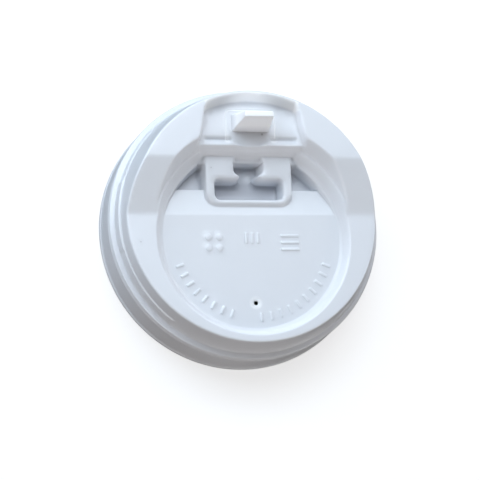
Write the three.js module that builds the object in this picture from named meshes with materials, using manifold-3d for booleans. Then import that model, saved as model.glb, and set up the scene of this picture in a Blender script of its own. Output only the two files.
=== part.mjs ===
// Coffee cup lid with a lift-back tab, formed in one piece from thin white plastic sheet.
// Millimetres, +Z up. The origin is at the centre of the lip's underside.
// The drinking side, with the tab, is towards +Y.

import * as THREE from 'three';
import { mergeVertices } from 'three/addons/utils/BufferGeometryUtils.js';
import Module from 'manifold-3d';

const wasm = await Module();
wasm.setup();

// Sheet and facets
const sheet = 0.4;               // thickness of the formed sheet
const turnFacets = 96;           // facets round the lid
const recessFacets = 84;         // facets round the recess
const cornerFacets = 3;          // facets in each rounded corner
const reach = 60;                // how far cutting shapes run past the lid
const over = 0.2;                // how far small cutting shapes stand above a surface

// Skirt, which grips the rim of the cup
const lipRadius = 46.75;         // outer edge of the trimmed lip
const lipHeight = 0.8;           // straight edge of the lip
const lipFlare = 0.45;           // how far the lip stands out from the skirt
const lipFlareRise = 0.68;       // height of the slope between the two
const skirtDraft = 0.2;          // how much the skirt narrows on its way up
const skirtHeight = 12.4;        // where the skirt ends in the crease
const creaseDepth = 0.6;         // depth of the crease above the skirt
const creaseHeight = 0.8;        // height of each side of the crease
const shoulderWidth = 2.0;       // flat ring over the rim of the cup
const shoulderRise = 2.2;        // from the crease to the foot of the wall

// Wall and rim: low on the near side, high on the drinking side
const wallFootRadius = 43.9;
const wallFootRise = 1.0;        // from the shoulder up to the foot of the wall
const highRimRadius = 40.75;
const highRimHeight = 32.2;
const lowRimHeight = 25.05;
const rimBevel = 0.5;            // bevel along the high rim's outer edge
const rampFootY = 0.6;           // the ramps join the two rims
const rampTopY = 18.0;

// Recess in the top: a round basin with a straight north wall
const recessCentreY = -7.0;
const floorHeight = 21.7;
const floorRadius = 30.1;
const ledgeRadius = 31.1;
const ledgeHeight = 22.4;
const stepRadius = 33.1;
const stepHeight = 25.9;
const stepWidth = 0.8;
const stepRise = 0.3;
const recessTopRadius = 36.4;
const wellHeight = 15.8;         // floor of the deep well round the block
const wellRadius = 29.3;
const wellSlopeStartY = 1.1;     // the floor runs down into the well
const wellSlopeEndY = 11.3;
const wellNorthY = 17.8;
const wellWallDraft = 0.5;
const wellCut = 2.0;             // how far the basin's cutting shape runs below the well
const northLedgeY = 20.3;        // straight wall: foot, step and top
const northStepY = 21.6;
const northWallY = 23.0;
const northWallLean = 1.0;       // how far the cut leans north above the pocket

// Raised block with the T-shaped slot that takes the folded tab's plug
const blockHalfWidth = 14.6;
const blockSouthY = 5.1;
const blockNorthY = 20.9;
const blockTopHeight = 22.2;     // at the block's south edge
const blockTopSlope = 0.08;
const blockSideDraft = 0.09;
const blockFrontSlope = 1.0;
const blockCorner = 4.0;
const blockBury = 0.2;           // how far the block's solid starts below the well
const blockCut = 4.0;            // how far its cutting shapes rise above its top
const slotHalfWidth = 11.7;      // wide bar of the T
const slotSouthY = 6.3;
const slotNorthY = 13.2;
const slotDraft = 0.09;
const slotCorner = 1.9;          // corners of the wide bar
const tongueCorner = 0.9;        // corners of the two tongues beside the neck
const neckHalfWidth = 2.85;
const neckFlareHalfWidth = 4.25; // where the neck opens into the wide bar
const neckNorthY = 13.9;
const stemHalfWidth = 5.0;       // upper bar of the T
const stemSouthY = 15.5;
const stemNorthY = 20.5;
const stemCorner = 1.1;

// Shallow pocket in the high rim, which holds the tab
const pocketHeight = 28.2;
const pocketNorthRadius = 37.7;
const pocketNorthHalfWidth = 15.6;
const pocketMiddleHalfWidth = 16.6;
const pocketMiddleY = 27.5;
const pocketSouthHalfWidth = 18.6;
const pocketSouthY = 21.0;
const pocketDraft = 0.16;
const pocketArcFacets = 5;       // facets in each half of the north side
const pocketCorner = 1.6;

// Hinge groove across the pocket, bridged by the root of the tab
const grooveHalfWidth = 15.5;
const grooveNorthY = 26.2;
const grooveSouthY = 23.6;
const grooveBottomY = 25.1;
const grooveBottomWidth = 0.4;
const grooveDepth = 1.0;
const rootHalfWidth = 6.7;
const rootNorthY = 27.3;
const rootDrop = 0.95;           // how far the root slopes down to the recess
const rootLead = 0.5;            // how far its low end runs level

// Tab outline, scored but still joined all round
const tabHalfWidth = 8.35;
const tabNorthY = 35.1;
const tabSouthY = 25.1;
const tabCorner = 1.9;
const scoreWidth = 0.35;
const scoreDepth = 0.2;
const scorePitRadius = 0.65;

// Plug on the tab
const plugHeight = 12.0;
const plugFootHalfWidth = 6.3;
const plugFootSouthY = 27.8;
const plugFootNorthY = 33.6;
const plugTipHalfWidth = 4.85;
const plugTipSouthY = 30.1;
const plugTipNorthY = 31.7;
const plugCorner = 0.6;

// Vent
const ventY = -28.6;
const ventRadius = 0.7;
const ventDimpleRadius = 1.6;
const ventDimpleDepth = 0.45;
const ventFacets = 16;
const ventCut = 3.0;             // how far the hole's cutting shape runs up and down

// Raised marks on the floor: short ribs in an arc, four pips, and two groups of three bars
const markHeight = 0.3;
const ribInnerRadius = 25.0;
const ribLength = 2.8;
const ribWidth = 0.9;
const ribPitch = 7.4;            // degrees
const ribGroups = [{ firstAngle: -20, count: 10 }, { firstAngle: -108, count: 8 }];
const markX = 12.9;              // the pips lie on the west side, the long bars on the east
const markY = -8.3;
const pipRadius = 1.1;
const pipPitch = 3.6;
const barWidth = 0.9;
const longBarLength = 6.2;
const longBarPitch = 2.3;
const shortBarLength = 3.6;
const shortBarPitch = 2.0;
const shortBarY = -6.8;
const pipFacets = 20;

// Stacking pads round the foot of the wall
const padHeight = 3.2;
const padBury = 0.6;
const pads = [
  { from: 135, to: 162, proud: 0.3 },
  { from: 162, to: 194, proud: 0.6 },
  { from: 194, to: 231, proud: 0.4 },
  { from: 309, to: 346, proud: 0.4 },
  { from: 346, to: 378, proud: 0.6 },
  { from: 378, to: 405, proud: 0.3 },
];
const padFacetAngle = 5.4;       // degrees
const padLap = 0.5;              // degrees that neighbouring pads share

const degrees = Math.PI / 180;
const shoulderHeight = skirtHeight + 2 * creaseHeight;
const wallFootHeight = skirtHeight + creaseHeight + shoulderRise + wallFootRise;
const wallLean = (wallFootRadius - highRimRadius) / (highRimHeight - wallFootHeight);
const wallRadiusAt = (z) => wallFootRadius - (z - wallFootHeight) * wallLean;

// Paths are lists of [across, up] pairs

// Moves an open path sideways, to the left of its direction for a positive distance
function offsetPath(path, distance, closed = false) {
  const count = path.length;
  const normals = path.map(([x, y], i) => {
    const [nextX, nextY] = path[(i + 1) % count];
    const length = Math.hypot(nextX - x, nextY - y);
    return [-(nextY - y) / length, (nextX - x) / length];
  });
  return path.map(([x, y], i) => {
    const before = normals[i === 0 ? (closed ? count - 1 : 0) : i - 1];
    const after = normals[!closed && i === count - 1 ? count - 2 : i];
    const mitre = distance / (1 + before[0] * after[0] + before[1] * after[1]);
    return [x + (before[0] + after[0]) * mitre, y + (before[1] + after[1]) * mitre];
  });
}

// Grows a closed anticlockwise loop by a distance
const growLoop = (loop, distance) => offsetPath(loop, -distance, true);

// Rounds every corner of a closed loop, by one radius or by a list with one for each corner
function roundLoop(loop, radii) {
  const count = loop.length;
  const path = new THREE.Path();
  const along = (from, to, length) => {
    const gap = Math.hypot(to[0] - from[0], to[1] - from[1]);
    const share = Math.min(length / gap, 0.45);
    return [from[0] + (to[0] - from[0]) * share, from[1] + (to[1] - from[1]) * share];
  };
  loop.forEach((corner, i) => {
    const radius = radii[i] ?? radii;
    const start = along(corner, loop[(i + count - 1) % count], radius);
    const end = along(corner, loop[(i + 1) % count], radius);
    if (i === 0) path.moveTo(...start);
    else path.lineTo(...start);
    path.quadraticCurveTo(...corner, ...end);
  });
  const points = path.getPoints(cornerFacets);
  return points.map((point) => [point.x, point.y]);
}

// Mirrors the right half of a symmetrical loop, given from south to north
function mirrored(half) {
  const left = half.filter(([x]) => x > 0).reverse().map(([x, y]) => [-x, y]);
  return [...half, ...left];
}

function solid(geometry) {
  geometry.deleteAttribute('normal');
  geometry.deleteAttribute('uv');
  const merged = mergeVertices(geometry, 1e-5);
  const corners = merged.index.array;
  const triangles = [];
  for (let i = 0; i < corners.length; i += 3) {
    const [a, b, c] = corners.slice(i, i + 3);
    if (a !== b && b !== c && c !== a) triangles.push(a, b, c);
  }
  const mesh = new wasm.Mesh({
    numProp: 3,
    vertProperties: new Float32Array(merged.attributes.position.array),
    triVerts: new Uint32Array(triangles),
  });
  return new wasm.Manifold(mesh);
}

// A turned solid from a profile of [radius, height] that starts and ends on the axis
function turned(profile, facets, x = 0, y = 0) {
  const points = profile.map(([radius, height]) => new THREE.Vector2(radius, height));
  const geometry = new THREE.LatheGeometry(points, facets);
  geometry.rotateX(Math.PI / 2);
  geometry.translate(x, y, 0);
  return solid(geometry);
}

// A straight solid along X from an outline of [y, z]
function barAcross(outline, fromX, toX) {
  const shape = new THREE.Shape(outline.map(([y, z]) => new THREE.Vector2(y, z)));
  const geometry = new THREE.ExtrudeGeometry(shape, { depth: toX - fromX, bevelEnabled: false });
  geometry.rotateZ(Math.PI / 2);
  geometry.rotateY(Math.PI / 2);
  geometry.translate(fromX, 0, 0);
  return solid(geometry);
}

// An upright solid from a closed outline of [x, y]
function upright(outline, fromZ, toZ) {
  const shape = new THREE.Shape(outline.map(([x, y]) => new THREE.Vector2(x, y)));
  const geometry = new THREE.ExtrudeGeometry(shape, { depth: toZ - fromZ, bevelEnabled: false });
  geometry.translate(0, 0, fromZ);
  return solid(geometry);
}

// An upright solid that changes from one outline to another with as many points
function drafted(lower, fromZ, upper, toZ) {
  const shape = lower.map(([x, y]) => new THREE.Vector2(x, y));
  const count = lower.length;
  const positions = [];
  lower.forEach(([x, y]) => positions.push(x, y, fromZ));
  upper.forEach(([x, y]) => positions.push(x, y, toZ));
  const index = [];
  THREE.ShapeUtils.triangulateShape(shape, []).forEach(([a, b, c]) => {
    index.push(a, c, b);
    index.push(a + count, b + count, c + count);
  });
  for (let i = 0; i < count; i += 1) {
    const next = (i + 1) % count;
    index.push(i, next, next + count);
    index.push(i, next + count, i + count);
  }
  const geometry = new THREE.BufferGeometry();
  geometry.setAttribute('position', new THREE.Float32BufferAttribute(positions, 3));
  geometry.setIndex(index);
  return solid(geometry);
}

// Skirt, shoulder and wall as one turned body, up to the high rim
function bodySolid(inset) {
  const skirtRadius = lipRadius - lipFlare;
  const skirtTopRadius = skirtRadius - skirtDraft;
  const outer = [
    [lipRadius, 0],
    [lipRadius, lipHeight],
    [skirtRadius, lipHeight + lipFlareRise],
    [skirtTopRadius, skirtHeight],
    [skirtTopRadius - creaseDepth, skirtHeight + creaseHeight],
    [skirtTopRadius, shoulderHeight],
    [skirtTopRadius - creaseDepth / 2, shoulderHeight + creaseHeight],
    [skirtTopRadius - shoulderWidth, skirtHeight + creaseHeight + shoulderRise],
    [wallFootRadius, wallFootHeight],
    [wallRadiusAt(highRimHeight - rimBevel), highRimHeight - rimBevel],
    [highRimRadius - rimBevel, highRimHeight],
    [0, highRimHeight],
  ];
  const profile = offsetPath(outer, inset);
  const openBottom = inset > 0 ? -1 : 0;
  return turned([[0, openBottom], [profile[0][0], openBottom], ...profile], turnFacets);
}

// Everything above the low rim, the ramps and the high rim
function aboveRims(inset) {
  const rims = [
    [-reach, lowRimHeight],
    [rampFootY, lowRimHeight],
    [rampTopY, highRimHeight],
    [reach, highRimHeight],
  ];
  return barAcross([...offsetPath(rims, -inset), [reach, reach], [-reach, reach]], -reach, reach);
}

// The basin with its deep well
function recessSpace(inset) {
  const cone = [
    [wellRadius, wellHeight],
    [floorRadius, floorHeight],
    [ledgeRadius, ledgeHeight],
    [stepRadius, stepHeight],
    [stepRadius + stepWidth, stepHeight + stepRise],
    [recessTopRadius, highRimHeight],
  ];
  const side = offsetPath(cone, -inset);
  const basin = turned(
    [[0, wellHeight - wellCut], [side[0][0], wellHeight - wellCut], ...side,
      [side.at(-1)[0], reach], [0, reach]],
    recessFacets, 0, recessCentreY,
  );
  const floor = [
    [-reach, floorHeight],
    [wellSlopeStartY, floorHeight],
    [wellSlopeEndY, wellHeight],
    [wellNorthY, wellHeight],
    [wellNorthY + wellWallDraft, floorHeight],
    [northLedgeY, ledgeHeight],
    [northStepY, stepHeight],
    [northStepY + stepRise, stepHeight + stepRise],
    [northWallY, pocketHeight],
    [northWallY + northWallLean, reach],
  ];
  const above = barAcross([...offsetPath(floor, -inset), [-reach, reach]], -reach, reach);
  return basin.intersect(above);
}

function blockOutline(z, inset) {
  const half = blockHalfWidth + (blockTopHeight - z) * blockSideDraft - inset;
  const south = blockSouthY - (blockTopHeight - z) * blockFrontSlope + inset * Math.SQRT2;
  const north = blockNorthY + inset;
  return roundLoop([[half, south], [half, north], [-half, north], [-half, south]], blockCorner);
}

function blockSolid(inset) {
  const foot = wellHeight - inset - blockBury;
  const top = blockTopHeight + blockCut;
  const body = drafted(blockOutline(foot, inset), foot, blockOutline(top, inset), top);
  const topAt = (y) => blockTopHeight + (y - blockSouthY) * blockTopSlope - inset;
  const below = barAcross(
    [[-reach, 0], [reach, 0], [reach, topAt(reach)], [-reach, topAt(-reach)]], -reach, reach,
  );
  return body.intersect(below);
}

function slotLoop(grow) {
  const half = [
    [slotHalfWidth, slotSouthY],
    [slotHalfWidth, slotNorthY],
    [neckFlareHalfWidth, slotNorthY],
    [neckHalfWidth, neckNorthY],
    [stemHalfWidth, stemSouthY],
    [stemHalfWidth, stemNorthY],
  ];
  return growLoop(mirrored(half), grow);
}

function slotSpace(inset) {
  const right = [
    slotCorner, slotCorner, tongueCorner, tongueCorner, tongueCorner, stemCorner,
  ];
  const radii = [...right, ...right.toReversed()];
  const lower = slotLoop(inset - slotDraft * (blockTopHeight - wellHeight));
  const upper = slotLoop(inset + slotDraft * blockCut);
  return drafted(
    roundLoop(lower, radii), wellHeight - inset,
    roundLoop(upper, radii), blockTopHeight + blockCut,
  );
}

// The pocket's outline, with its north side as an arc about the lid's axis
function pocketLoop(grow) {
  const northY = Math.sqrt(pocketNorthRadius ** 2 - pocketNorthHalfWidth ** 2);
  const arc = Math.atan2(northY, pocketNorthHalfWidth);
  const half = [
    [pocketSouthHalfWidth, pocketSouthY],
    [pocketMiddleHalfWidth, pocketMiddleY],
  ];
  for (let i = 0; i <= pocketArcFacets; i += 1) {
    const angle = arc + (Math.PI / 2 - arc) * (i / pocketArcFacets);
    const x = i === pocketArcFacets ? 0 : pocketNorthRadius * Math.cos(angle);
    half.push([x, pocketNorthRadius * Math.sin(angle)]);
  }
  return growLoop(mirrored(half), grow);
}

function pocketSpace(inset) {
  const top = highRimHeight + over;
  const rise = top - pocketHeight;
  return drafted(
    roundLoop(pocketLoop(inset), pocketCorner), pocketHeight - inset,
    roundLoop(pocketLoop(inset + rise * pocketDraft), pocketCorner), top,
  );
}

// The two arms of the hinge groove
function grooveSpace(inset) {
  const section = growLoop([
    [grooveBottomY - grooveBottomWidth / 2, pocketHeight - grooveDepth],
    [grooveBottomY + grooveBottomWidth / 2, pocketHeight - grooveDepth],
    [grooveNorthY + over, pocketHeight + over],
    [grooveSouthY - over, pocketHeight + over],
  ], inset);
  const from = rootHalfWidth - inset;
  const to = grooveHalfWidth + inset;
  return barAcross(section, from, to).add(barAcross(section, -to, -from));
}

// The smooth slope from the plug down to the recess, where the tab folds
function rootSpace(inset) {
  const slope = offsetPath([
    [northLedgeY, pocketHeight - rootDrop],
    [northWallY - rootLead, pocketHeight - rootDrop],
    [rootNorthY, pocketHeight],
    [rootNorthY + rootLead, pocketHeight + over],
  ], -inset);
  const above = pocketHeight + rootDrop;
  const outline = [...slope, [slope.at(-1)[0], above], [slope[0][0], above]];
  return barAcross(outline, inset - rootHalfWidth, rootHalfWidth - inset);
}

function plugLoop(halfWidth, southY, northY, shrink) {
  const half = halfWidth - shrink;
  return roundLoop([
    [half, southY + shrink], [half, northY - shrink],
    [-half, northY - shrink], [-half, southY + shrink],
  ], plugCorner);
}

function plugSolid(inset) {
  const foot = pocketHeight - rootDrop - inset;
  const share = (foot - pocketHeight) / plugHeight;
  const at = (footValue, tipValue) => footValue + (tipValue - footValue) * share;
  const lower = plugLoop(
    at(plugFootHalfWidth, plugTipHalfWidth), at(plugFootSouthY, plugTipSouthY),
    at(plugFootNorthY, plugTipNorthY), inset,
  );
  const upper = plugLoop(plugTipHalfWidth, plugTipSouthY, plugTipNorthY, inset);
  return drafted(lower, foot, upper, pocketHeight + plugHeight - inset);
}

// One raised band of the wall's foot, between two angles
function padSolid({ from, to, proud }, inset) {
  const sweep = to - from + 2 * padLap;
  const steps = Math.ceil(sweep / padFacetAngle);
  const top = wallFootHeight + padHeight;
  const ring = (radius) => Array.from({ length: steps + 1 }, (_, i) => {
    const angle = (from - padLap + (sweep * i) / steps) * degrees;
    return [radius * Math.cos(angle), radius * Math.sin(angle)];
  });
  const band = (outside, z) => {
    const inside = wallRadiusAt(z) - padBury;
    return [...ring(outside), ...ring(inside).reverse()];
  };
  const lower = band(wallRadiusAt(wallFootHeight) + proud - inset, wallFootHeight);
  const upper = band(wallRadiusAt(top) + proud - inset, top);
  return drafted(lower, wallFootHeight - padBury, upper, top - inset);
}

// The solid whose top side is the lid's outer face, or its inner face where inset is the sheet
function form(inset) {
  let body = bodySolid(inset);
  if (inset === 0) pads.forEach((pad) => { body = body.add(padSolid(pad, inset)); });
  body = body.subtract(aboveRims(inset));
  body = body.subtract(recessSpace(inset));
  body = body.subtract(pocketSpace(inset));
  body = body.subtract(grooveSpace(inset));
  body = body.subtract(rootSpace(inset));
  body = body.add(plugSolid(inset));
  body = body.add(blockSolid(inset));
  body = body.subtract(slotSpace(inset));
  return body.subtract(ventDimple(inset));
}

function ventDimple(inset) {
  const lean = ventDimpleRadius / 2 / ventDimpleDepth;
  return turned([
    [0, floorHeight - ventDimpleDepth - inset],
    [ventDimpleRadius / 2 + inset / 2, floorHeight - ventDimpleDepth - inset],
    [ventDimpleRadius + inset / 2 + lean * over, floorHeight + over - inset],
    [0, floorHeight + over - inset],
  ], ventFacets, 0, ventY);
}

function ventHole() {
  return turned([
    [0, floorHeight - ventCut], [ventRadius, floorHeight - ventCut],
    [ventRadius, floorHeight + ventCut], [0, floorHeight + ventCut],
  ], ventFacets, 0, ventY);
}

// The scored line round the tab, with a small pit at each end
function tabScore() {
  const line = [[tabHalfWidth, tabSouthY], [tabHalfWidth, tabNorthY],
    [-tabHalfWidth, tabNorthY], [-tabHalfWidth, tabSouthY]];
  const side = (grow) => {
    const rounded = roundLoop(growLoop(line, grow), tabCorner);
    return rounded.filter(([, y]) => y > tabSouthY + tabCorner);
  };
  const east = (grow) => [tabHalfWidth + grow, tabSouthY];
  const west = (grow) => [-tabHalfWidth - grow, tabSouthY];
  const edge = (grow) => [east(grow), ...side(grow), west(grow)];
  const outline = [...edge(scoreWidth / 2), ...edge(-scoreWidth / 2).reverse()];
  let score = upright(outline, pocketHeight - scoreDepth, pocketHeight + over);
  [-1, 1].forEach((hand) => {
    const floor = pocketHeight - grooveDepth - scoreDepth;
    score = score.add(turned([
      [0, floor], [scorePitRadius, floor], [scorePitRadius, pocketHeight], [0, pocketHeight],
    ], ventFacets, hand * (tabHalfWidth - scorePitRadius), tabSouthY - scorePitRadius / 2));
  });
  return score;
}

const markBase = floorHeight - sheet / 2;
const markTop = floorHeight + markHeight;

// A raised bar between two corners
function barSolid(x, y, lengthX, lengthY) {
  return upright([
    [x - lengthX / 2, y - lengthY / 2], [x + lengthX / 2, y - lengthY / 2],
    [x + lengthX / 2, y + lengthY / 2], [x - lengthX / 2, y + lengthY / 2],
  ], markBase, markTop);
}

function ribSolid(angle) {
  const rib = barSolid(ribInnerRadius + ribLength / 2, 0, ribLength, ribWidth);
  return rib.rotate([0, 0, angle]).translate([0, recessCentreY, 0]);
}

function pipSolid(x, y) {
  return turned(
    [[0, markBase], [pipRadius, markBase], [pipRadius, markTop], [0, markTop]],
    pipFacets, x, y,
  );
}

function floorMarks() {
  const marks = [];
  ribGroups.forEach(({ firstAngle, count }) => {
    for (let i = 0; i < count; i += 1) marks.push(ribSolid(firstAngle - i * ribPitch));
  });
  [-1, 1].forEach((sideX) => {
    [-1, 1].forEach((sideY) => {
      marks.push(pipSolid(-markX + (sideX * pipPitch) / 2, markY + (sideY * pipPitch) / 2));
    });
  });
  [-1, 0, 1].forEach((step) => {
    marks.push(barSolid(markX, markY + step * longBarPitch, longBarLength, barWidth));
    marks.push(barSolid(step * shortBarPitch, shortBarY, barWidth, shortBarLength));
  });
  return marks;
}

function lidSolid() {
  let lid = form(0).subtract(form(sheet));
  lid = lid.subtract(tabScore()).subtract(ventHole());
  floorMarks().forEach((mark) => { lid = lid.add(mark); });
  return lid;
}

function meshFrom(manifold, name, material) {
  const { vertProperties, triVerts } = manifold.getMesh();
  const geometry = new THREE.BufferGeometry();
  geometry.setAttribute('position', new THREE.BufferAttribute(vertProperties, 3));
  geometry.setIndex(new THREE.BufferAttribute(triVerts, 1));
  geometry.computeVertexNormals();
  const mesh = new THREE.Mesh(geometry, material);
  mesh.name = name;
  return mesh;
}

const whitePlastic = new THREE.MeshStandardMaterial({
  color: 0xe6ebf2, roughness: 0.35, metalness: 0,
});

const lid = new THREE.Group();
lid.add(meshFrom(lidSolid(), 'cup_lid', whitePlastic));

export default lid;
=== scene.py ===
import math
import bpy
import bmesh
import numpy as np
from mathutils import Matrix, Vector
from mathutils.geometry import delaunay_2d_cdt
from mathutils.kdtree import KDTree


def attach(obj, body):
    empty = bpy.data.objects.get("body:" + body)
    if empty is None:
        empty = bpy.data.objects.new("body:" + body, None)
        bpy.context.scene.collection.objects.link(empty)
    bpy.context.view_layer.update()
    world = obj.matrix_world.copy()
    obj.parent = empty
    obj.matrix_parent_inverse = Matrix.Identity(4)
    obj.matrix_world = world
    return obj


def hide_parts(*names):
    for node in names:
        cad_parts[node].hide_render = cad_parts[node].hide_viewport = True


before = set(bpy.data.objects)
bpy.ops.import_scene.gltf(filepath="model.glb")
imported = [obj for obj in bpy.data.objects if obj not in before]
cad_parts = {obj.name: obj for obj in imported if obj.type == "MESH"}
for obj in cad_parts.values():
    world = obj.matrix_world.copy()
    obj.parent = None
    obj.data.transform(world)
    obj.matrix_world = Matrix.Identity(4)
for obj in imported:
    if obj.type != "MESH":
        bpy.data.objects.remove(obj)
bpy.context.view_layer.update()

mm = 0.001
far = 80.0  # beyond the lid in every direction
tiny = 1e-12  # keeps a division away from nothing

# Coffee cup lid, formed in one piece from thin white sheet. All sizes are in millimetres.
# The drinking side, with the lift-back tab, is towards +Y, and the lip's underside lies at z = 0.


# Lines, loops and soft corners

def bend(before, corner, after, radius, limit, steps):
    # points round one corner; limit is the most of each side that the bend may take up
    ends = []
    for other in (before, after):
        gap = math.hypot(other[0] - corner[0], other[1] - corner[1])
        share = min(radius / gap, limit)
        ends.append([c + (o - c) * share for c, o in zip(corner, other)])
    out = []
    for i in range(steps + 1):
        t = i / steps
        out.append([
            ends[0][k] * (1 - t) ** 2 + 2 * corner[k] * t * (1 - t) + ends[1][k] * t ** 2
            for k in (0, 1)
        ])
    return out


def softLine(points, radius, steps=6, limit=0.48):
    # rounds the corners of a line of (across, up) points, for use with np.interp
    out = [points[0]]
    for before, corner, after in zip(points, points[1:], points[2:]):
        out += bend(before, corner, after, radius, limit, steps)
    out.append(points[-1])
    line = np.array(out, float)
    return line[:, 0], line[:, 1]


def roundLoop(loop, radii, steps=5, limit=0.45):
    # rounds every corner of a closed loop of (x, y) points, by one radius or one for each corner
    out = []
    for i, corner in enumerate(loop):
        radius = radii if np.isscalar(radii) else radii[i]
        after = loop[(i + 1) % len(loop)]
        out += bend(loop[i - 1], corner, after, radius, limit, steps)
    return np.array(out)


def growLoop(loop, distance):
    # moves a closed anticlockwise loop outwards
    loop = np.asarray(loop, float)
    ahead = np.roll(loop, -1, axis=0) - loop
    length = np.maximum(np.hypot(ahead[:, 0], ahead[:, 1]), tiny)
    normal = np.stack([ahead[:, 1] / length, -ahead[:, 0] / length], axis=1)
    before = np.roll(normal, 1, axis=0)
    dot = np.maximum((before * normal).sum(axis=1), -0.5)
    return loop + (before + normal) * (distance / (1 + dot))[:, None]


def mirrored(half):
    # the whole loop from its right half, given from south to north
    return list(half) + [(-x, y) for x, y in reversed(half) if x > 0]


def spaced(points, step, closed=True):
    # puts more points on the long stretches of a line
    points = [tuple(p) for p in points]
    ends = points[1:] + points[:1] if closed else points[1:]
    out = []
    for (ax, ay), (bx, by) in zip(points, ends):
        pieces = max(1, math.ceil(math.hypot(bx - ax, by - ay) / step))
        out += [(ax + (bx - ax) * i / pieces, ay + (by - ay) * i / pieces) for i in range(pieces)]
    if not closed:
        out.append(points[-1])
    return out


def segmentDistance(x, y, a, b):
    dx, dy = b[0] - a[0], b[1] - a[1]
    t = np.clip(((x - a[0]) * dx + (y - a[1]) * dy) / max(dx * dx + dy * dy, tiny), 0, 1)
    return np.hypot(x - a[0] - dx * t, y - a[1] - dy * t)


def lineDistance(x, y, line):
    # distance of each place from an open line
    best = np.full(x.shape, 2 * far)
    for a, b in zip(line, line[1:]):
        best = np.minimum(best, segmentDistance(x, y, a, b))
    return best


def loopDistance(x, y, loop):
    # distance of each place from a closed loop, negative inside it
    loop = np.asarray(loop, float)
    best = np.full(x.shape, 2 * far)
    inside = np.zeros(x.shape, bool)
    for (ax, ay), (bx, by) in zip(loop, np.roll(loop, -1, axis=0)):
        best = np.minimum(best, segmentDistance(x, y, (ax, ay), (bx, by)))
        if ay != by:
            crosses = ((ay > y) != (by > y)) & (x < ax + (y - ay) * (bx - ax) / (by - ay))
            inside ^= crosses
    return np.where(inside, -best, best)


def lower(a, b, soft):
    # the lower of two heights, blended over a soft edge
    h = np.maximum(soft - np.abs(a - b), 0) / soft
    return np.minimum(a, b) - h * h * soft / 4


def higher(a, b, soft):
    return -lower(-a, -b, soft)


def circle(radius, x=0.0, y=0.0, steps=48):
    turn = np.arange(steps) * 2 * math.pi / steps
    return np.stack([x + radius * np.cos(turn), y + radius * np.sin(turn)], axis=1)


# Rim: low on the near side, high on the drinking side, with a ramp between them
rim = {
    "lowHeight": 25.05, "highHeight": 32.2, "rampFootY": 0.6, "rampTopY": 18.0, "rampSoft": 0.9,
    "edgeSoft": 0.55,  # how far the rounded outer edge reaches on the top
    "edgeDrop": 0.8,  # and down the wall
    "columns": 360,
}

# Wall, shoulder and skirt
wall = {
    "footRadius": 43.9, "footHeight": 16.4, "topRadius": 40.75, "topHeight": 32.2,
    "soft": 0.3,
}
skirt = {
    "lipRadius": 46.75, "lipHeight": 0.8, "lipFlare": 0.45, "draft": 0.2, "height": 12.4,
    "creaseDepth": 0.6, "creaseHeight": 0.8, "shoulderWidth": 2.0, "shoulderRise": 2.2,
}

# Stacking pads at the foot of the wall: from and to in degrees, and how far each stands out
pads = {
    "height": 3.2, "soft": 0.35, "endSoft": 0.8, "startBelow": 0.6, "startSoft": 0.4,
    "footRows": (1.4, 2.3), "topRows": (-0.4, -0.25, -0.1, 0.05, 0.2, 0.4),  # rows of the mesh
    "bands": [(135, 162, 0.3), (162, 194, 0.6), (194, 231, 0.4),
              (309, 346, 0.4), (346, 378, 0.6), (378, 405, 0.3)],
}

# Round basin in the top, with a deep well round the block
recess = {
    "centreY": -7.0, "floorHeight": 21.7,
    # points of the stepped wall, each a distance from the middle and a height
    "cone": [(29.3, 15.8), (30.1, 21.7), (31.1, 22.4), (33.1, 25.9), (33.9, 26.2), (36.4, 32.2)],
    "wellHeight": 15.8, "slopeStartY": 1.1, "slopeEndY": 10.1, "wellNorthY": 17.8,
    "slopeEndHeight": 19.4, "dropWidth": 0.5,  # the slope ends in an edge above the well
    # points of the straight north wall, each a y and a height
    "northWall": [(18.3, 21.7), (20.3, 22.4), (21.6, 25.9), (21.9, 26.2), (23.0, 28.2)],
    "coneEnd": (40.0, 40.8), "wallEnd": (25.4, 36.0),  # where both would go on to, above the rim
    "soft": 0.28, "topSoft": 0.8, "joinSoft": 0.35,
}

# Raised block with the T-shaped slot
block = {
    "halfWidth": 14.6, "southY": 5.1, "northY": 20.9, "topHeight": 22.2, "topSlope": 0.08,
    "sideDraft": 0.09, "frontSlope": 1.0, "corner": 4.3, "cornerGrowth": 0.3, "edge": 0.6,
    "footSoft": 0.5, "deepest": 12.0, "overlap": 0.6,  # how far it runs into the wall behind it
    "nearX": 16.6, "nearY": (-8.0, 24.0),  # its height is worked out only in here
}
slot = {
    "half": [(11.7, 6.3), (11.7, 13.2), (4.25, 13.2), (2.85, 13.9), (5.0, 15.5), (5.0, 20.5)],
    "corners": [2.1, 1.7, 0.9, 0.9, 0.9, 1.1], "draft": 0.09, "edge": 0.5,
    "scoop": [(18.6, 15.8), (18.8, 21.6), (20.9, 22.7)],  # end of the stem, y and height
    "barSlope": 0.4, "barWidth": 1.1,  # the narrow bar south of the slot tips towards it
    "barPastSlot": 0.4, "barPastBlock": 0.6,
}

# Pocket in the high rim, with the hinge groove and the root of the tab
pocket = {
    "height": 28.2, "northRadius": 37.7, "northHalfWidth": 15.6, "middle": (16.6, 27.5),
    "south": (18.6, 21.0), "draft": 0.16, "corner": 1.8, "edge": 0.35, "joinSoft": 0.45,
    "northLean": 1.9, "leanFromY": 30.0,  # how far the wall under the rim leans outwards
    # the last three numbers on the next line set where the wall under the rim gets painted light, a paler
    # colour standing for light through the thin sheet
    "leanPast": 0.5, "leanFade": 1.2, "paintedLightFrom": 37.2, "paintedLightTo": 40.3, "paintedLightRise": 0.8,
}
groove = {
    "halfWidth": 15.5, "northY": 26.2, "southY": 23.6, "bottomY": 25.1, "bottomWidth": 0.4,
    "depth": 1.0, "soft": 0.5, "innerEnd": (0.5, 0.1), "outerEnd": (0.3, 0.4),
}
root = {
    "halfWidth": 6.9, "northY": 27.5, "southY": 23.5, "drop": 0.55, "soft": 0.8, "sideSoft": 1.6,
    "tongue": 2.4,  # length of its round end
}

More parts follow.
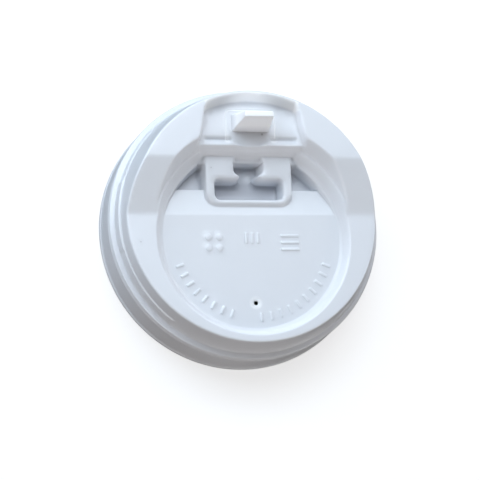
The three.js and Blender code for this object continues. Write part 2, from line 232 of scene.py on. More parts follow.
# Tab, scored all round, and the plug that stands on it
score = {
    "halfWidth": 8.35, "northY": 35.1, "southY": 25.1, "corner": 1.9, "width": 0.34,
    "depth": 0.09, "sharp": 2.0, "lip": 0.06, "lipAt": 1.1, "lipSharp": 2.2, "whiteWidth": 0.36,
    "pitRadius": 0.8, "pitDepth": 0.3, "pitIn": 0.5, "pitDown": 0.2,  # the pits at its two ends
}
plug = {
    "height": 12.0, "footHalf": 6.3, "footSouthY": 27.8, "footNorthY": 33.6,
    "tipHalf": 4.85, "tipSouthY": 29.2, "tipNorthY": 31.15, "soft": 2.6, "tipSoft": 1.0,
    "footSoft": 1.1, "paintedLightFrom": 29.0, "paintedLightTo": 32.0,  # painted light: its colour turns paler with height, standing for light coming through the thin sheet
}

# Vent hole in its dimple
vent = {"y": -28.6, "radius": 0.72, "dimpleRadius": 2.2, "depth": 0.14, "whiteRadius": 2.1}

# Raised marks on the floor: ribs in an arc, four pips, and two groups of three bars
marks = {
    "height": 0.28, "soft": 0.28, "ribRadius": 25.0, "ribLength": 2.8, "width": 0.9,
    "ribPitch": 7.4, "ribGroups": [(-20, 10), (-108, 8)], "x": 12.9, "y": -8.3,
    "pipRadius": 1.1, "pipPitch": 3.6, "longBar": 6.2, "longPitch": 2.3,
    "shortBar": 3.6, "shortPitch": 2.0, "shortY": -6.8, "barCorner": 0.3,
}

# Small dark specks in the sheet: x, y, size and strength
specks = [(-38.0, -8.9, 0.14, 0.7), (-12.8, 16.8, 0.14, 0.6), (3.9, 26.9, 0.3, 0.45)]

# Painted shade at the bottom of the well and of the slot, darkened in colour where least light comes
# through the sheet
paintedShadePlace = {"from": 16.9, "to": 16.1, "radius": 30.5, "share": 0.5}

sheet = {
    "thickness": 0.4, "gridStep": 2.1, "gridGap": 0.55, "gridIn": 0.3, "lineIn": 0.12,
    "gridReach": 22, "gridRow": 0.87,  # rows out from the middle, and their share of a step apart
}

# How far from each edge the mesh has a line of points
meshLines = {
    "pocket": (-0.15, 0.0, 0.15, 0.32, 0.5, 0.7, 1.1, 1.5, 1.75, 1.95, 2.15),
    "slot": (-1.0, -0.8, -0.66, -0.55, -0.4, -0.25, -0.12, -0.02, 0.08, 0.2, 0.4),
    "block": (0.0, 0.06, 0.18, 0.4, 0.7, 1.0, 1.25, 1.5, 1.8, 2.3, 3.5, 5.0, 6.5),  # below its top
    "plug": (-0.12, -0.05, 0.0, 0.05, 0.12, 0.4, 0.7, 0.88, 0.97, 1.04, 1.15, 1.4),  # shares of its height
    "vent": (1.0, 1.25, 1.55, 1.85, 2.1, 2.35, 2.6),
    "mark": (-0.19, -0.07, 0.07, 0.19),
    "pit": (0.25, 0.5, 0.8, 1.0),
    "speck": (0.6, 1.0, 1.5),  # times its size
    "wall": (-0.3, -0.1, 0.1, 0.3),
    "ramp": (-0.8, -0.5, -0.25, 0.0, 0.25, 0.5, 0.8),
    "score": (-0.5, -0.36, -0.24, -0.12, 0.0, 0.12, 0.24, 0.36, 0.5),
    "root": (-0.6, 0.0, 0.4),
    "scoopY": (18.5, 18.6, 18.7, 18.8, 18.9, 19.2, 19.7, 20.2),
    "pocketEdgeY": (22.3, 22.65, 23.4, 23.7, 24.0),
    "cone": (36.4, 36.15, 36.65, 36.9, 32.35, 32.85),  # from the middle of the basin
    "arc": (-235, 55, 270),  # first and last degree of each of those, and its number of points
    "arcNorthY": 24.5, "wideArc": 36.0,  # they stop at the pocket, unless they pass round it
    "wallReach": 37.0, "pocketReach": 21.0, "rampFrom": 24.0, "rampTo": 41.4,
}


# Heights of the outer face, seen from above

rimLine = softLine(
    [(-far, rim["lowHeight"]), (rim["rampFootY"], rim["lowHeight"]),
     (rim["rampTopY"], rim["highHeight"]), (far, rim["highHeight"])], rim["rampSoft"])


def rimHeight(y):
    return np.interp(y, *rimLine)


def wallRadius(z):
    lean = (wall["footRadius"] - wall["topRadius"]) / (wall["topHeight"] - wall["footHeight"])
    return wall["footRadius"] - (z - wall["footHeight"]) * lean


def slotLoop(grow=0.0):
    radii = slot["corners"] + slot["corners"][::-1]
    return growLoop(roundLoop(mirrored(slot["half"]), radii), grow)


def pocketLoop(grow=0.0):
    radius = pocket["northRadius"]
    halfWidth = pocket["northHalfWidth"]
    start = math.acos(halfWidth / radius)
    half = [pocket["south"], pocket["middle"]]
    for i in range(9):
        angle = start + (math.pi / 2 - start) * i / 8
        half.append((radius * math.cos(angle) if i < 8 else 0.0, radius * math.sin(angle)))
    return growLoop(roundLoop(mirrored(half), pocket["corner"]), grow)


def blockLoop(drop):
    # outline of the block at a depth below its top
    radius = block["edge"]
    edge = np.minimum(drop, radius)
    bulge = np.sqrt(radius ** 2 - (radius - edge) ** 2) - radius
    half = block["halfWidth"] + bulge + drop * block["sideDraft"]
    south = block["southY"] - bulge - drop * block["frontSlope"]
    return half, south


def blockDrop(x, y):
    # how far below the block's top each place meets its sides
    low = np.zeros(x.shape)
    high = np.full(x.shape, block["deepest"])
    for _ in range(26):
        middle = (low + high) / 2
        half, south = blockLoop(middle)
        corner = block["corner"] + middle * block["cornerGrowth"]
        across = np.abs(x) - half + corner
        along = south + corner - y
        beyond = np.hypot(np.maximum(across, 0), np.maximum(along, 0)) - corner
        beyond = beyond + np.minimum(np.maximum(across, along), 0)
        beyond = np.maximum(beyond, y - block["northY"] - block["overlap"])
        outside = beyond > 0
        low = np.where(outside, middle, low)
        high = np.where(outside, high, middle)
    return (low + high) / 2


def barLoop(x, y, lengthX, lengthY, angle=0.0, grow=0.0):
    # outline of a raised bar, turned about the middle of the basin
    halfX = lengthX / 2 + grow
    halfY = lengthY / 2 + grow
    c, s = math.cos(math.radians(angle)), math.sin(math.radians(angle))
    corners = [
        (x - halfX, y - halfY), (x + halfX, y - halfY), (x + halfX, y + halfY), (x - halfX, y + halfY),
    ]
    middle = recess["centreY"]
    turned = [(px * c - (py - middle) * s, px * s + (py - middle) * c + middle) for px, py in corners]
    return roundLoop(turned, marks["barCorner"], 3)


def barLoops(grow=0.0):
    m = marks
    ribX = m["ribRadius"] + m["ribLength"] / 2
    bars = [(ribX, recess["centreY"], m["ribLength"], m["width"], first - i * m["ribPitch"])
            for first, count in m["ribGroups"] for i in range(count)]
    for step in (-1, 0, 1):
        bars.append((m["x"], m["y"] + step * m["longPitch"], m["longBar"], m["width"], 0))
        bars.append((step * m["shortPitch"], m["shortY"], m["width"], m["shortBar"], 0))
    return [barLoop(*bar, grow) for bar in bars]


def pipPlaces():
    half = marks["pipPitch"] / 2
    return [(-marks["x"] + i * half, marks["y"] + j * half) for i in (-1, 1) for j in (-1, 1)]


def scorePath():
    # the scored U as an open line, from its east end round to its west end
    half = score["halfWidth"]
    tail = score["southY"] - half  # well past both ends, so that only the two far corners are round
    corners = [(half, tail), (half, score["northY"]), (-half, score["northY"]), (-half, tail)]
    rounded = [p for p in roundLoop(corners, score["corner"], 8) if p[1] > score["southY"]]
    return np.array([(half, score["southY"]), *rounded, (-half, score["southY"])])


def pitPlaces():
    return [(side * (score["halfWidth"] - score["pitIn"]), score["southY"] - score["pitDown"])
            for side in (-1, 1)]


def recessHeight(x, y):
    rho = np.hypot(x, y - recess["centreY"])
    cone = softLine([(0, recess["wellHeight"]), *recess["cone"], recess["coneEnd"]], recess["soft"])
    floor = softLine(
        [(-far, recess["floorHeight"]), (recess["slopeStartY"], recess["floorHeight"]),
         (recess["slopeEndY"], recess["slopeEndHeight"]),
         (recess["slopeEndY"] + recess["dropWidth"], recess["wellHeight"]),
         (recess["wellNorthY"], recess["wellHeight"]),
         *recess["northWall"], recess["wallEnd"], (far, recess["wallEnd"][1])], recess["soft"])
    return higher(np.interp(rho, *cone), np.interp(y, *floor), recess["joinSoft"])


def pocketFloor(x, y):
    # the pocket's floor with the hinge groove's two arms and the sloping root of the tab
    g = groove
    across = softLine(
        [(-far, 0), (g["southY"], 0), (g["bottomY"] - g["bottomWidth"] / 2, -g["depth"]),
         (g["bottomY"] + g["bottomWidth"] / 2, -g["depth"]), (g["northY"], 0), (far, 0)], g["soft"])
    ends = [root["halfWidth"] - g["innerEnd"][0], root["halfWidth"] + g["innerEnd"][1],
            g["halfWidth"] - g["outerEnd"][0], g["halfWidth"] + g["outerEnd"][1]]
    reachOut = np.interp(np.abs(x), ends, [0, 1, 1, 0])
    slope = softLine(
        [(-far, -root["drop"]), (root["southY"], -root["drop"]),
         (root["northY"], 0), (far, 0)], root["soft"])
    beyond = np.clip((g["bottomY"] - y) / root["tongue"], 0, 1)
    spread = root["halfWidth"] * np.sqrt(1 - beyond ** 2)
    side = np.clip((spread - np.abs(x)) / root["sideSoft"] + 0.5, 0, 1)
    side = side * side * (3 - 2 * side)
    return pocket["height"] + np.interp(y, *across) * reachOut + np.interp(y, *slope) * side


def plugHeight(x, y):
    p = plug
    base = pocket["height"]
    sideRise = p["height"] / (p["footHalf"] - p["tipHalf"])
    southRise = p["height"] / (p["tipSouthY"] - p["footSouthY"])
    northRise = p["height"] / (p["footNorthY"] - p["tipNorthY"])
    side = base + (p["footHalf"] - np.abs(x)) * sideRise
    south = base + (y - p["footSouthY"]) * southRise
    north = base + (p["footNorthY"] - y) * northRise
    sides = lower(lower(side, south, p["soft"]), north, p["soft"])
    return lower(sides, np.full(x.shape, base + p["height"]), p["tipSoft"])


def markLift(x, y):
    lift = np.zeros(x.shape)

    def raiseInside(distance):
        t = np.clip(0.5 - distance / marks["soft"], 0, 1)
        return t * t * (3 - 2 * t)

    near = np.hypot(x, y - recess["centreY"]) < marks["ribRadius"] + marks["ribLength"] + 1
    for loop in barLoops():
        lift[near] = np.maximum(lift[near], raiseInside(loopDistance(x[near], y[near], loop)))
    for px, py in pipPlaces():
        lift = np.maximum(lift, raiseInside(np.hypot(x - px, y - py) - marks["pipRadius"]))
    return lift * marks["height"]


def topHeight(x, y):
    # height of the outer face at each place inside the rim
    rims = rimHeight(y)
    height = lower(rims, recessHeight(x, y), recess["topSoft"])

    lean = (rim["highHeight"] - pocket["height"]) * pocket["draft"]
    fade = (pocket["northHalfWidth"] + pocket["leanPast"] - np.abs(x)) / pocket["leanFade"]
    lean = lean + (pocket["northLean"] - lean) * np.clip(fade, 0, 1) * (y > pocket["leanFromY"])
    inPocket = softLine([(-far, 1), (0, 1), (1, 0), (far, 0)], pocket["edge"])
    share = np.interp(loopDistance(x, y, pocketLoop()) / lean, *inPocket)
    floor = lower(height, pocketFloor(x, y), pocket["joinSoft"])
    height = height + (floor - height) * share
    height = higher(height, plugHeight(x, y), plug["footSoft"])

    nearSouth, nearNorth = block["nearY"]
    nearBlock = (np.abs(x) < block["nearX"]) & (y > nearSouth) & (y < nearNorth)
    bx, by = x[nearBlock], y[nearBlock]
    flat = block["topHeight"] + (by - block["southY"]) * block["topSlope"]
    raised = flat - blockDrop(bx, by)
    depth = (flat - recess["wellHeight"]) * slot["draft"]
    fromSlot = loopDistance(bx, by, slotLoop())
    across = fromSlot / depth
    inSlot = softLine([(-far, 1), (-1, 1), (0, 0), (far, 0)], slot["edge"] / depth.mean())
    share = np.interp(across, *inSlot)
    withBlock = higher(height[nearBlock], raised, block["footSoft"])
    onBar = (by < slot["half"][0][1] + slot["barPastSlot"]) & (fromSlot > -1)
    onBar = onBar & (by > block["southY"] - slot["barPastBlock"])
    tip = slot["barSlope"] * np.clip(1 - fromSlot / slot["barWidth"], 0, 1)
    withBlock = withBlock - np.where(onBar, tip, 0)
    slotFloor = np.interp(by, *np.transpose(slot["scoop"]))
    height[nearBlock] = withBlock + (slotFloor - withBlock) * share

    fromVent = np.hypot(x, y - vent["y"]) / vent["dimpleRadius"]
    height = height - vent["depth"] * np.maximum(1 - fromVent ** 2, 0) ** 1.5
    height = height + markLift(x, y)

    fromScore = lineDistance(x, y, scorePath()) / score["width"]
    groovedIn = np.exp(-(fromScore * score["sharp"]) ** 2) * score["depth"]
    lipUp = np.exp(-((fromScore - score["lipAt"]) * score["lipSharp"]) ** 2) * score["lip"]
    height = height - groovedIn + lipUp
    for px, py in pitPlaces():
        pit = np.clip(1 - np.hypot(x - px, y - py) / score["pitRadius"], 0, 1)
        height = height - pit * score["pitDepth"]
    return height


# Plan of the top: lines along every edge, so that each edge has its own faces

def edgeLoops():
    closed = []
    for step in meshLines["pocket"]:
        closed.append(spaced(pocketLoop(step), 0.8))
    for step in meshLines["slot"]:
        closed.append(spaced(slotLoop(step), 0.6))
    north = block["northY"] + block["overlap"] / 2
    for drop in meshLines["block"]:
        half, south = blockLoop(drop)
        corners = [(half, south), (half, north), (-half, north), (-half, south)]
        radius = block["corner"] * 1.15 + drop * block["cornerGrowth"]
        closed.append(spaced(roundLoop(corners, radius, 8), 0.7))
    p = plug
    for share in meshLines["plug"]:
        half = p["footHalf"] + (p["tipHalf"] - p["footHalf"]) * share
        south = p["footSouthY"] + (p["tipSouthY"] - p["footSouthY"]) * share
        north = p["footNorthY"] + (p["tipNorthY"] - p["footNorthY"]) * share
        if north - south < 0.2:
            continue
        corners = [(half, south), (half, north), (-half, north), (-half, south)]
        closed.append(spaced(roundLoop(corners, 0.45, 4), 0.45))
    for radius in (vent["radius"], *meshLines["vent"]):
        closed.append([tuple(p) for p in circle(radius, 0, vent["y"], 28)])
    for step in meshLines["mark"]:
        closed += [[tuple(p) for p in loop] for loop in barLoops(step)]
        closed += [[tuple(p) for p in circle(marks["pipRadius"] + step, px, py, 28)]
                   for px, py in pipPlaces()]
    for px, py in pitPlaces():
        for radius in meshLines["pit"]:
            closed.append([tuple(p) for p in circle(radius, px, py, 18)])
    for x, y, size, _ in specks:
        for scale in meshLines["speck"]:
            closed.append([tuple(p) for p in circle(size * scale, x, y, 10)])
    return closed


def level(y, fromX, toX, step=0.9):
    # a straight line of points across the lid
    return spaced([(fromX, y), (toX, y)], step, False)


def edgeLines():
    # open lines: circles of the basin, straight edges of the north wall, ramps and groove
    lines = []
    centreY = recess["centreY"]
    cone = [radius for radius, _ in recess["cone"]]
    radii = []
    for inner, outer in zip(cone, cone[1:]):
        radii += list(np.linspace(inner, outer, 5)[:-1])
    radii += [cone[0] - 0.25, cone[0] - 0.1, cone[1] - 0.15, cone[1] + 0.2, cone[0] - 0.3]
    radii += [cone[2] - 0.2, cone[2] + 0.2, cone[3] - 0.15, cone[3] + 0.15]
    radii += [cone[4] - 0.15, cone[4] + 0.15, *meshLines["cone"]]
    for radius in radii:
        arc = [(radius * math.cos(a), centreY + radius * math.sin(a))
               for a in np.radians(np.linspace(*meshLines["arc"]))]
        passesRound = radius > meshLines["wideArc"]
        lines.append([p for p in arc if p[1] < meshLines["arcNorthY"] or passesRound])
    dropEnd = recess["slopeEndY"] + recess["dropWidth"]
    walls = [recess["slopeStartY"], recess["slopeEndY"], dropEnd]
    walls += [recess["slopeEndY"] + recess["dropWidth"] / 2, recess["wellNorthY"]]
    walls += [y for y, _ in recess["northWall"]]
    for y in walls:
        for step in meshLines["wall"]:
            half = math.sqrt(meshLines["wallReach"] ** 2 - (y + step - centreY) ** 2)
            lines.append(level(y + step, -half, half))
    stemHalf = slot["half"][-1][0] + 0.4
    for y in meshLines["scoopY"]:
        lines.append(level(y, -stemHalf, stemHalf, 0.5))
    for y in meshLines["pocketEdgeY"]:
        lines.append(level(y, -meshLines["pocketReach"], meshLines["pocketReach"]))
    g = groove
    half = g["halfWidth"] + 0.6
    for y in np.linspace(g["southY"] - 0.3, g["northY"] + 0.3, 14):
        lines.append(level(y, -half, half, 0.8))
    half = root["halfWidth"] + 1
    for step in meshLines["root"]:
        lines.append(level(root["northY"] + step, -half, half, 0.8))
    for y in (rim["rampFootY"], rim["rampTopY"]):
        for step in meshLines["ramp"]:
            for side in (-1, 1):
                ends = side * meshLines["rampFrom"], side * meshLines["rampTo"]
                lines.append(level(y + step, *ends))
    path = scorePath()
    ahead = np.gradient(path, axis=0)
    ahead = ahead / np.maximum(np.hypot(ahead[:, 0], ahead[:, 1]), tiny)[:, None]
    for step in meshLines["score"]:
        moved = path + np.stack([ahead[:, 1], -ahead[:, 0]], axis=1) * step
        lines.append(spaced(moved, 0.7, False))
    return lines


def outerEdge():
    # the rim's outer corner at each column, and the points where its rounding starts
    turn = np.arange(rim["columns"]) * 2 * math.pi / rim["columns"]
    height = np.full(turn.shape, rim["highHeight"])
    for _ in range(12):
        radius = wallRadius(height)
        height = rimHeight(radius * np.sin(turn))
    radius = wallRadius(height)
    return turn, radius, height


def planFaces():
    turn, radius, _ = outerEdge()
    inner = radius - rim["edgeSoft"]
    border = np.stack([inner * np.cos(turn), inner * np.sin(turn)], axis=1)
    points = []
    edges = []

    def addLine(line, closed):
        start = len(points)
        points.extend(line)
        edges.extend((start + i, start + i + 1) for i in range(len(line) - 1))
        if closed:
            edges.append((len(points) - 1, start))

    addLine([tuple(p) for p in border], True)
    keepIn = growLoop(border, -sheet["lineIn"])
    for line, closed in [(l, True) for l in edgeLoops()] + [(l, False) for l in edgeLines()]:
        places = np.array(line)
        inside = loopDistance(places[:, 0], places[:, 1], keepIn) < 0
        if inside.all():
            addLine(line, closed)
            continue
        run = []
        for place, good in zip(line, inside):
            if good:
                run.append(place)
            elif len(run) > 1:
                addLine(run, False)
                run = []
        if len(run) > 1:
            addLine(run, False)
    tree = KDTree(len(points))
    for i, (x, y) in enumerate(points):
        tree.insert((x, y, 0), i)
    tree.balance()
    step = sheet["gridStep"]
    reach = sheet["gridReach"]
    grid = [((i + j / 2 % 1) * step, j * step * sheet["gridRow"])
            for j in range(-reach, reach) for i in range(-reach, reach)]
    places = np.array(grid)
    inside = loopDistance(places[:, 0], places[:, 1], keepIn) < -sheet["gridIn"]
    for (x, y), good in zip(grid, inside):
        if good and tree.find((x, y, 0))[2] > sheet["gridGap"]:
            points.append((x, y))
    print(f"plan: {len(points)} points, {len(edges)} edges")
    flat = [Vector(p) for p in points]
    verts, _, faces, *_ = delaunay_2d_cdt(flat, edges, [], 0, 1e-5, False)
    places = np.array([(v.x, v.y) for v in verts])
    centres = np.array([places[list(f)].mean(axis=0) for f in faces])
    inLid = loopDistance(centres[:, 0], centres[:, 1], border) < 0
    fromVent = np.hypot(centres[:, 0], centres[:, 1] - vent["y"])
    keep = inLid & (fromVent > vent["radius"] * 0.995)
    return places, [tuple(f) for f, good in zip(faces, keep) if good]


def skirtProfile():
    # radius and height of the turned part, from the lip up to the foot of the wall
    s = skirt
    base = s["lipRadius"] - s["lipFlare"]
    top = base - s["draft"]
    crease = s["height"] + s["creaseHeight"]
    corners = [
        (s["lipRadius"], 0.0), (s["lipRadius"], s["lipHeight"]),
        (base, s["lipHeight"] + s["lipFlare"] * 1.5), (top, s["height"]),
        (top - s["creaseDepth"], crease), (top, crease + s["creaseHeight"]),
        (top - s["creaseDepth"] / 2, crease + 2 * s["creaseHeight"]),
        (top - s["shoulderWidth"], crease + s["shoulderRise"]),
        (wall["footRadius"], wall["footHeight"]),
    ]
    radius, height = softLine([*corners, (wallRadius(20.0), 20.0)], wall["soft"], 3)
    return list(zip(radius, height))[:-1]


def padBulge(turn, z):
    # how far the stacking pads stand out from the wall
    degrees = np.degrees(turn)
    out = np.zeros(turn.shape)
    for start, end, proud in pads["bands"]:
        for shift in (0, 360):
            a = np.clip((degrees + shift - start) / pads["endSoft"] + 0.5, 0, 1)
            b = np.clip((end - degrees - shift) / pads["endSoft"] + 0.5, 0, 1)
            out = np.maximum(out, a * b * proud)
    top = wall["footHeight"] + pads["height"]
    fade = np.clip((top - z) / pads["soft"] + 0.5, 0, 1)
    start = np.clip((z - wall["footHeight"] + pads["startBelow"]) / pads["startSoft"], 0, 1)
    return out * fade * fade * (3 - 2 * fade) * start


def turnedRows():
    # rows of points from the lip up to the border of the plan, one point for each column
    turn, radius, height = outerEdge()
    rows = []
    for r, z in skirtProfile():
        rows.append((np.full(turn.shape, r) + padBulge(turn, z), np.full(turn.shape, z)))
    padTop = wall["footHeight"] + pads["height"]
    levels = [wall["footHeight"] + step for step in pads["footRows"]]
    levels += [padTop + step for step in pads["topRows"]]
    for z in levels:
        rows.append((wallRadius(z) + padBulge(turn, z), np.full(turn.shape, z)))
    start = levels[-1]
    end = height - rim["edgeDrop"]
    for share in np.linspace(0, 1, 9)[1:]:
        z = start + (end - start) * share
        rows.append((wallRadius(z), z))
    for t in np.linspace(0, 1, 7)[1:]:
        r = wallRadius(end) * (1 - t) ** 2 + 2 * radius * t * (1 - t)
        r = r + (radius - rim["edgeSoft"]) * t ** 2
        z = end * (1 - t) ** 2 + 2 * height * t * (1 - t) + height * t ** 2
        rows.append((r, z))
    return turn, rows


def topSheet(mesh, turn, border):
    # the part seen from above; gives back the points on its edge, which the rim's rounding joins
    places, faces = planFaces()
    heights = topHeight(places[:, 0], places[:, 1])
    angles = np.arctan2(places[:, 1], places[:, 0]) % (2 * math.pi)
    edge = np.interp(angles, np.append(turn, 2 * math.pi), np.append(border, border[0]))
    onBorder = np.abs(np.hypot(places[:, 0], places[:, 1]) - edge) < 1e-3
    heights = np.where(onBorder, rimHeight(places[:, 1]), heights)
    top = [mesh.verts.new((x * mm, y * mm, z * mm)) for (x, y), z in zip(places, heights)]
    for face in faces:
        mesh.faces.new([top[i] for i in face])
    loose = [v for v in mesh.verts if not v.link_faces]
    bmesh.ops.delete(mesh, geom=loose, context="VERTS")
    return [v for v in mesh.verts if any(len(e.link_faces) == 1 for e in v.link_edges)]


def turnedSheet(mesh, turn, rows, borderVerts):
    # lip, skirt, shoulder, wall and the rim's rounded edge, joined to the part seen from above
    tree = KDTree(len(borderVerts))
    for i, v in enumerate(borderVerts):
        tree.insert((v.co.x, v.co.y, 0), i)
    tree.balance()
    rings = []
    for r, z in rows[:-1]:
        rings.append([mesh.verts.new((a * math.cos(t) * mm, a * math.sin(t) * mm, h * mm))
                      for a, h, t in zip(r, z, turn)])
    last = []
    for a, h, t in zip(*rows[-1], turn):
        _, i, _ = tree.find((a * math.cos(t) * mm, a * math.sin(t) * mm, 0))
        borderVerts[i].co.z = h * mm
        last.append(borderVerts[i])
    rings.append(last)
    for below, above in zip(rings, rings[1:]):
        for i in range(len(turn)):
            j = (i + 1) % len(turn)
            mesh.faces.new([below[i], below[j], above[j], above[i]])


def paintLid(data):
    # amounts of whitening, dirt, painted light and painted shade at each point, for the plastic to use
    count = len(data.vertices)
    places = np.empty(count * 3)
    data.vertices.foreach_get("co", places)
    x, y, z = (places.reshape(-1, 3) / mm).T

    white = np.exp(-(lineDistance(x, y, scorePath()) / score["whiteWidth"]) ** 2)
    for px, py in pitPlaces():
        pit = np.hypot(x - px, y - py) / score["pitRadius"]
        white = np.maximum(white, np.clip(1.6 - pit, 0, 1))
    inPocket = (z > pocket["height"] - 2) & (z < pocket["height"] + 1)
    fromVent = np.hypot(x, y - vent["y"]) / vent["whiteRadius"]
    white = white * inPocket + np.exp(-fromVent ** 8)

    dark = np.zeros(count)
    for sx, sy, size, strength in specks:
        dark = np.maximum(dark, strength * np.clip(1.6 - np.hypot(x - sx, y - sy) / size, 0, 1))

    # painted light: the plug, and the pocket's wall under the rim, paler in colour as if light came
    # through the thin sheet
    fromMiddle = np.hypot(x, y)
    paintedLightShare = np.clip((z - plug["paintedLightFrom"]) / (plug["paintedLightTo"] - plug["paintedLightFrom"]), 0, 1)
    paintedLightShare = paintedLightShare * (loopDistance(x, y, pocketLoop(-1.0)) < 0)
    underRim = np.clip((z - pocket["height"]) / pocket["paintedLightRise"], 0, 1)
    underRim = underRim * np.clip(fromMiddle - pocket["paintedLightFrom"], 0, 1)
    underRim = underRim * (np.abs(x) < pocket["northHalfWidth"] + 0.4) * (y > pocket["leanFromY"])
    paintedLightShare = np.maximum(paintedLightShare, underRim * (fromMiddle < pocket["paintedLightTo"]))

    # painted shade: the colour darkens at the bottom of the well and slot, fully on the slot's bar and by
    # the given share elsewhere
    paintedShade = np.clip((paintedShadePlace["from"] - z) / (paintedShadePlace["from"] - paintedShadePlace["to"]), 0, 1)
    inBasin = np.hypot(x, y - recess["centreY"]) < paintedShadePlace["radius"]
    paintedShade = paintedShade * (z > recess["wellHeight"] - 1) * inBasin
    inBar = (loopDistance(x, y, slotLoop()) < 0) & (y < slot["half"][1][1] + 0.6)
    paintedShade = paintedShade * np.where(inBar, 1.0, paintedShadePlace["share"])

    amounts = {"scored": np.clip(white, 0, 1), "speck": dark, "paintedBacklight": paintedLightShare, "paintedShade": paintedShade}
    for name, values in amounts.items():
        layer = data.attributes.new(name, "FLOAT", "POINT")
        layer.data.foreach_set("value", values.astype(np.float32))


def buildLid():
    mesh = bmesh.new()
    turn, rows = turnedRows()
    borderVerts = topSheet(mesh, turn, rows[-1][0])
    turnedSheet(mesh, turn, rows, borderVerts)
    bmesh.ops.recalc_face_normals(mesh, faces=mesh.faces[:])
    upward = sum(f.normal.z * f.calc_area() for f in mesh.faces)
    if upward < 0:
        bmesh.ops.reverse_faces(mesh, faces=mesh.faces[:])
    data = bpy.data.meshes.new("lidShell")
    mesh.to_mesh(data)
    mesh.free()
    data.shade_smooth()
    paintLid(data)

    lid = bpy.data.objects.new("lid_shell", data)
    bpy.context.scene.collection.objects.link(lid)
    solidify = lid.modifiers.new("sheet", "SOLIDIFY")
    solidify.thickness = sheet["thickness"] * mm
    solidify.offset = -1
    bpy.context.view_layer.objects.active = lid
    lid.select_set(True)
    bpy.ops.object.modifier_apply(modifier=solidify.name)
    print(f"lid: {len(lid.data.polygons)} faces")
    return lid


# Finish

plastic = {
    "colour": (0.80, 0.815, 0.85), "cloudColour": (0.79, 0.805, 0.842), "cloudScale": 60.0,
    "glowWeight": 0.5, "glowDepth": 0.0012,
    "roughness": 0.3, "roughnessSpread": 0.03, "grainScale": 900.0,
    "bumpStrength": 0.04, "bumpDepth": 0.0002,
    "scoreColour": (0.97, 0.98, 1.0), "speckColour": (0.22, 0.21, 0.22),
    # the next line's two colours are painted light on the plug and the pocket's wall under the rim, and
    # painted shade at the bottom of the well and slot
    "paintedBacklightColour": (0.96, 0.955, 0.95), "paintedShadeColour": (0.5, 0.51, 0.55),
    "paintedBacklightGlow": 0.1,
}


def formedPlastic():
    p = plastic
    material = bpy.data.materials.new("formed_white_plastic")
    material.use_nodes = True
    nodes = material.node_tree.nodes
    links = material.node_tree.links
    shader = nodes["Principled BSDF"]
    place = nodes.new("ShaderNodeTexCoord")

    def noise(scale, detail):
        node = nodes.new("ShaderNodeTexNoise")
        node.inputs["Scale"].default_value = scale
        node.inputs["Detail"].default_value = detail
        links.new(place.outputs["Object"], node.inputs["Vector"])
        return node

    def mix(factor, a, b):
        node = nodes.new("ShaderNodeMix")
        node.data_type = "RGBA"
        links.new(factor, node.inputs["Factor"])
        for socket, value in ((node.inputs[6], a), (node.inputs[7], b)):
            if isinstance(value, tuple):
                socket.default_value = (*value, 1)
            else:
                links.new(value, socket)
        return node.outputs[2]

    cloud = noise(p["cloudScale"], 3)
    colour = mix(cloud.outputs["Fac"], p["colour"], p["cloudColour"])
    # tints: painted shade in the well and slot, painted light on the plug and the wall under the rim,
    # whitening along the score, and dark specks
    tints = {
        "paintedShade": p["paintedShadeColour"], "paintedBacklight": p["paintedBacklightColour"],
        "scored": p["scoreColour"], "speck": p["speckColour"],
    }
    layers = {}
    for name, tint in tints.items():
        layer = nodes.new("ShaderNodeAttribute")
        layer.attribute_name = name
        layers[name] = layer
        colour = mix(layer.outputs["Fac"], colour, tint)
    links.new(colour, shader.inputs["Base Color"])

    glow = nodes.new("ShaderNodeMapRange")
    glow.inputs["To Min"].default_value = p["glowWeight"]
    glow.inputs["To Max"].default_value = p["paintedBacklightGlow"]
    links.new(layers["paintedBacklight"].outputs["Fac"], glow.inputs["Value"])
    links.new(glow.outputs["Result"], shader.inputs["Subsurface Weight"])
    shader.inputs["Subsurface Radius"].default_value = (1, 1, 1)
    shader.inputs["Subsurface Scale"].default_value = p["glowDepth"]
    grain = noise(p["grainScale"], 4)
    spread = nodes.new("ShaderNodeMapRange")
    spread.inputs["To Min"].default_value = p["roughness"] - p["roughnessSpread"]
    spread.inputs["To Max"].default_value = p["roughness"] + p["roughnessSpread"]
    links.new(cloud.outputs["Fac"], spread.inputs["Value"])
    links.new(spread.outputs["Result"], shader.inputs["Roughness"])
    bump = nodes.new("ShaderNodeBump")
    bump.inputs["Strength"].default_value = p["bumpStrength"]
    bump.inputs["Distance"].default_value = p["bumpDepth"]
    links.new(grain.outputs["Fac"], bump.inputs["Height"])
    links.new(bump.outputs["Normal"], shader.inputs["Normal"])
    return material


# Floor, light and camera

studio = {
    "floorSize": 3.0, "floorBelow": 0.00005, "floorRoughness": 0.9,
    "floorColour": 0.42, "floorGlow": 0.66,  # both only as the camera sees the floor
    "bounceColour": 0.05,  # what the floor throws back onto the lid
    "skyColour": (0.9, 0.95, 1.0), "skyStrength": 0.1,
    "lamps": [
        # name, degrees from north towards east, degrees up, watts, colour
        ("northHigh", 0, 64, 4.3, (0.87, 0.92, 1.0)),
        ("northLow", 5, 48, 2.9, (0.77, 0.91, 1.0)),
        ("window", -45, 50, 4.7, (0.75, 0.88, 1.0)),
        ("windowLow", -50, 12, 6.4, (0.70, 0.84, 1.0)),
        ("nearLeft", -135, 9, 4.4, (1.0, 0.94, 0.92)),
        ("nearRight", 135, 9, 4.2, (1.0, 0.97, 0.95)),
        ("farRight", 48, 26, 2.4, (0.93, 0.92, 1.0)),
    ],
    "lampSize": 0.7, "distance": 1.1,
}

view = {
    "azimuth": -47.56, "elevation": 69.72, "roll": 45.81, "distance": 629.2,
    "across": -0.12, "upward": -3.90, "target": (0.0, 0.0, 8.0),
    "lens": 140.3, "sensor": 36.0,
}


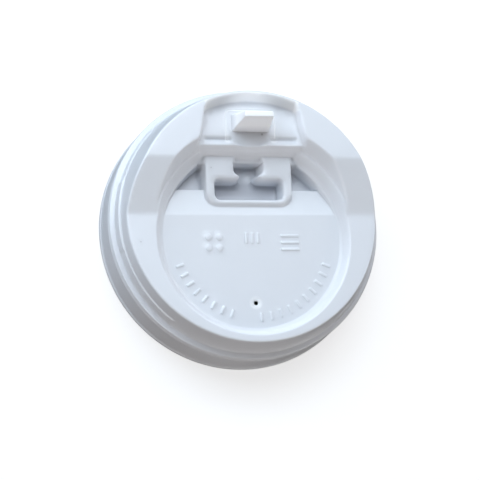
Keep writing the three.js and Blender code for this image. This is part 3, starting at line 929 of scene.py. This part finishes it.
def makeFloor():
    bpy.ops.mesh.primitive_plane_add(size=studio["floorSize"], location=(0, 0, -studio["floorBelow"]))
    floor = bpy.context.object
    floor.name = "studio_floor"
    material = bpy.data.materials.new("pale_floor")
    material.use_nodes = True
    nodes = material.node_tree.nodes
    links = material.node_tree.links
    shader = nodes["Principled BSDF"]
    shader.inputs["Roughness"].default_value = studio["floorRoughness"]
    ray = nodes.new("ShaderNodeLightPath")
    seen = nodes.new("ShaderNodeMapRange")
    seen.inputs["To Min"].default_value = studio["bounceColour"]
    seen.inputs["To Max"].default_value = studio["floorColour"]
    links.new(ray.outputs["Is Camera Ray"], seen.inputs["Value"])
    links.new(seen.outputs["Result"], shader.inputs["Base Color"])
    # the glow that keeps the floor white stops under the lid
    place = nodes.new("ShaderNodeTexCoord")
    distance = nodes.new("ShaderNodeVectorMath")
    distance.operation = "LENGTH"
    links.new(place.outputs["Object"], distance.inputs[0])
    clear = nodes.new("ShaderNodeMapRange")
    clear.inputs["From Min"].default_value = wall["footRadius"] * mm
    clear.inputs["From Max"].default_value = skirt["lipRadius"] * mm
    clear.inputs["To Max"].default_value = studio["floorGlow"]
    links.new(distance.outputs["Value"], clear.inputs["Value"])
    glow = nodes.new("ShaderNodeMath")
    glow.operation = "MULTIPLY"
    links.new(clear.outputs["Result"], glow.inputs[1])
    links.new(ray.outputs["Is Camera Ray"], glow.inputs[0])
    links.new(glow.outputs["Value"], shader.inputs["Emission Strength"])
    shader.inputs["Emission Color"].default_value = (1, 1, 1, 1)
    shader.inputs["Specular IOR Level"].default_value = 0
    floor.data.materials.append(material)


def makeWorld():
    world = bpy.data.worlds.new("studio")
    bpy.context.scene.world = world
    world.use_nodes = True
    back = world.node_tree.nodes["Background"]
    back.inputs["Color"].default_value = (*studio["skyColour"], 1)
    back.inputs["Strength"].default_value = studio["skyStrength"]


def makeLamps():
    for name, turn, rise, watts, colour in studio["lamps"]:
        lamp = bpy.data.lights.new(name, "AREA")
        lamp.shape = "DISK"
        lamp.size = studio["lampSize"]
        lamp.energy = watts
        lamp.color = colour
        holder = bpy.data.objects.new(name, lamp)
        turn = math.radians(turn)
        rise = math.radians(rise)
        out = math.cos(rise)
        towards = Vector((math.sin(turn) * out, math.cos(turn) * out, math.sin(rise)))
        holder.location = towards * studio["distance"]
        holder.rotation_euler = towards.to_track_quat("Z", "Y").to_euler()
        bpy.context.scene.collection.objects.link(holder)


def makeCamera():
    azimuth = math.radians(view["azimuth"])
    elevation = math.radians(view["elevation"])
    roll = math.radians(view["roll"])
    back = Vector((math.sin(azimuth) * math.cos(elevation),
                   -math.cos(azimuth) * math.cos(elevation), math.sin(elevation)))
    right = Vector((0, 0, 1)).cross(back).normalized()
    up = back.cross(right)
    across = right * math.cos(roll) + up * math.sin(roll)
    upward = up * math.cos(roll) - right * math.sin(roll)
    place = (Vector(view["target"]) + back * view["distance"] + across * view["across"]
             + upward * view["upward"]) * mm
    lens = bpy.data.cameras.new("camera")
    lens.lens = view["lens"]
    lens.sensor_width = view["sensor"]
    lens.sensor_fit = "HORIZONTAL"
    camera = bpy.data.objects.new("camera", lens)
    turn = Matrix((across, upward, back)).transposed().to_4x4()
    camera.matrix_world = Matrix.Translation(place) @ turn
    bpy.context.scene.collection.objects.link(camera)
    bpy.context.scene.camera = camera


makeCamera()
print("camera placed")
lidShell = buildLid()
lidShell.data.materials.append(formedPlastic())
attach(lidShell, "root")
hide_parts("cup_lid")
print("lid finished")
makeFloor()
makeWorld()
makeLamps()
bpy.context.scene.view_settings.view_transform = "Standard"
print("studio ready")
